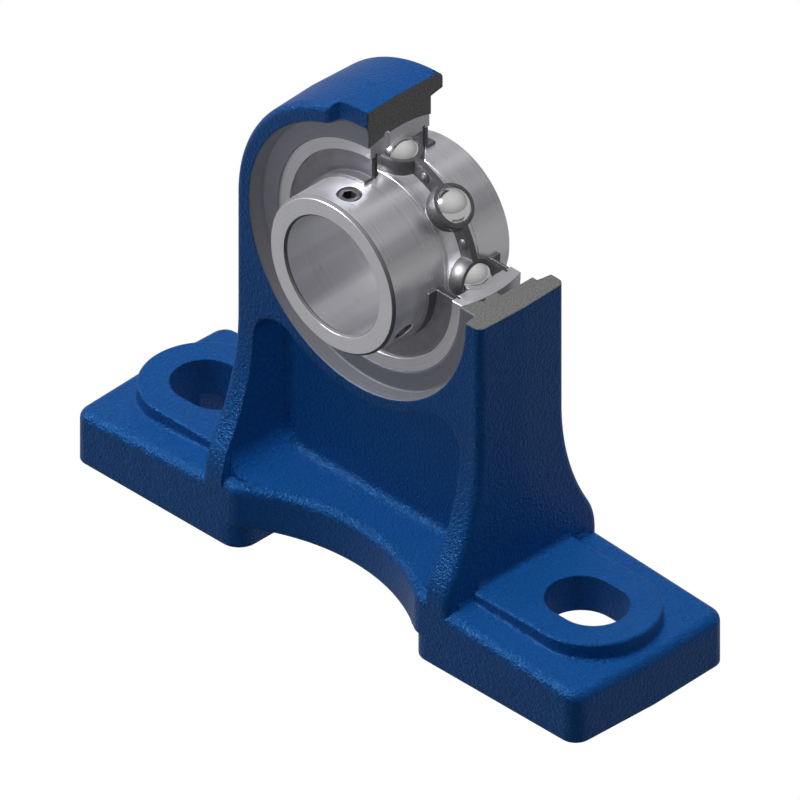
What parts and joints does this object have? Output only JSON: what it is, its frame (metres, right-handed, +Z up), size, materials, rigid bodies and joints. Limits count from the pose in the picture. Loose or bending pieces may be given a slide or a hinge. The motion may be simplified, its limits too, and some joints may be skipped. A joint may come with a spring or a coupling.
{
  "type": "pillow block bearing",
  "caption": "Cast pillow block housing with slotted feet, partly cut away to show its self-aligning insert ball bearing with cage, seals, flingers and set screws.",
  "frame": {"origin": "centre of the footprint, on the mounting face", "axes": "+X along the base, +Y along the shaft towards the back, +Z up"},
  "size_m": [0.164, 0.049, 0.13],
  "materials": {
    "casting": "blue paint with a fine cast grain, bare iron on the cut faces",
    "rings": "ground, satin",
    "balls": "polished",
    "sheet": "pressed sheet, matt",
    "cage": "pressed sheet, matt",
    "seals": "matt",
    "screws": "blackened"
  },
  "bodies": {
    "housing": {"housing": "casting"},
    "outer": {"outer_ring": "rings", "seal_front": "seals", "seal_back": "seals"},
    "inner": {"inner_ring": "rings", "flinger_front": "sheet", "flinger_back": "sheet"},
    "cage": {"cage_front": "cage", "cage_back": "cage", "rivet_1": "cage", "rivet_2": "cage", "rivet_3": "cage", "rivet_4": "cage", "rivet_5": "cage", "rivet_6": "cage", "rivet_7": "cage", "rivet_8": "cage"},
    "ball_1": {"ball_1": "balls"},
    "ball_2": {"ball_2": "balls"},
    "ball_3": {"ball_3": "balls"},
    "ball_4": {"ball_4": "balls"},
    "ball_5": {"ball_5": "balls"},
    "ball_6": {"ball_6": "balls"},
    "ball_7": {"ball_7": "balls"},
    "ball_8": {"ball_8": "balls"},
    "screw_1": {"set_screw_1": "screws"},
    "screw_2": {"set_screw_2": "screws"}
  },
  "joints": [
    {"name": "alignment", "type": "hinge", "parent": "housing", "child": "outer", "pos_m": [0, 0, 0.09], "axis": [1, 0, 0], "range_deg": [-2, 2]},
    {"name": "shaft_spin", "type": "hinge", "parent": "outer", "child": "inner", "pos_m": [0, 0, 0.09], "axis": [0, 1, 0], "continuous": true},
    {"name": "cage_spin", "type": "hinge", "parent": "outer", "child": "cage", "pos_m": [0, 0, 0.09], "axis": [0, 1, 0], "continuous": true},
    {"name": "ball_1_spin", "type": "hinge", "parent": "cage", "child": "ball_1", "pos_m": [0, 0, 0.113], "axis": [0, 1, 0], "continuous": true},
    {"name": "ball_2_spin", "type": "hinge", "parent": "cage", "child": "ball_2", "pos_m": [0.01626, 0, 0.10626], "axis": [0, 1, 0], "continuous": true},
    {"name": "ball_3_spin", "type": "hinge", "parent": "cage", "child": "ball_3", "pos_m": [0.023, 0, 0.09], "axis": [0, 1, 0], "continuous": true},
    {"name": "ball_4_spin", "type": "hinge", "parent": "cage", "child": "ball_4", "pos_m": [0.01626, 0, 0.07374], "axis": [0, 1, 0], "continuous": true},
    {"name": "ball_5_spin", "type": "hinge", "parent": "cage", "child": "ball_5", "pos_m": [0, 0, 0.067], "axis": [0, 1, 0], "continuous": true},
    {"name": "ball_6_spin", "type": "hinge", "parent": "cage", "child": "ball_6", "pos_m": [-0.01626, 0, 0.07374], "axis": [0, 1, 0], "continuous": true},
    {"name": "ball_7_spin", "type": "hinge", "parent": "cage", "child": "ball_7", "pos_m": [-0.023, 0, 0.09], "axis": [0, 1, 0], "continuous": true},
    {"name": "ball_8_spin", "type": "hinge", "parent": "cage", "child": "ball_8", "pos_m": [-0.01626, 0, 0.10626], "axis": [0, 1, 0], "continuous": true},
    {"name": "screw_1_travel", "type": "slide", "parent": "inner", "child": "screw_1", "axis": [0, 0, 1], "range_m": [-0.0003, 0.003]},
    {"name": "screw_2_travel", "type": "slide", "parent": "inner", "child": "screw_2", "axis": [0.866, 0, -0.5], "range_m": [-0.0003, 0.003]}
  ],
  "couplings": [
    {"joint": "cage_spin", "follows": "shaft_spin", "ratio": 0.39647},
    {"joint": "ball_1_spin", "follows": "shaft_spin", "ratio": -2.3112},
    {"joint": "ball_2_spin", "follows": "shaft_spin", "ratio": -2.3112},
    {"joint": "ball_3_spin", "follows": "shaft_spin", "ratio": -2.3112},
    {"joint": "ball_4_spin", "follows": "shaft_spin", "ratio": -2.3112},
    {"joint": "ball_5_spin", "follows": "shaft_spin", "ratio": -2.3112},
    {"joint": "ball_6_spin", "follows": "shaft_spin", "ratio": -2.3112},
    {"joint": "ball_7_spin", "follows": "shaft_spin", "ratio": -2.3112},
    {"joint": "ball_8_spin", "follows": "shaft_spin", "ratio": -2.3112}
  ]
}
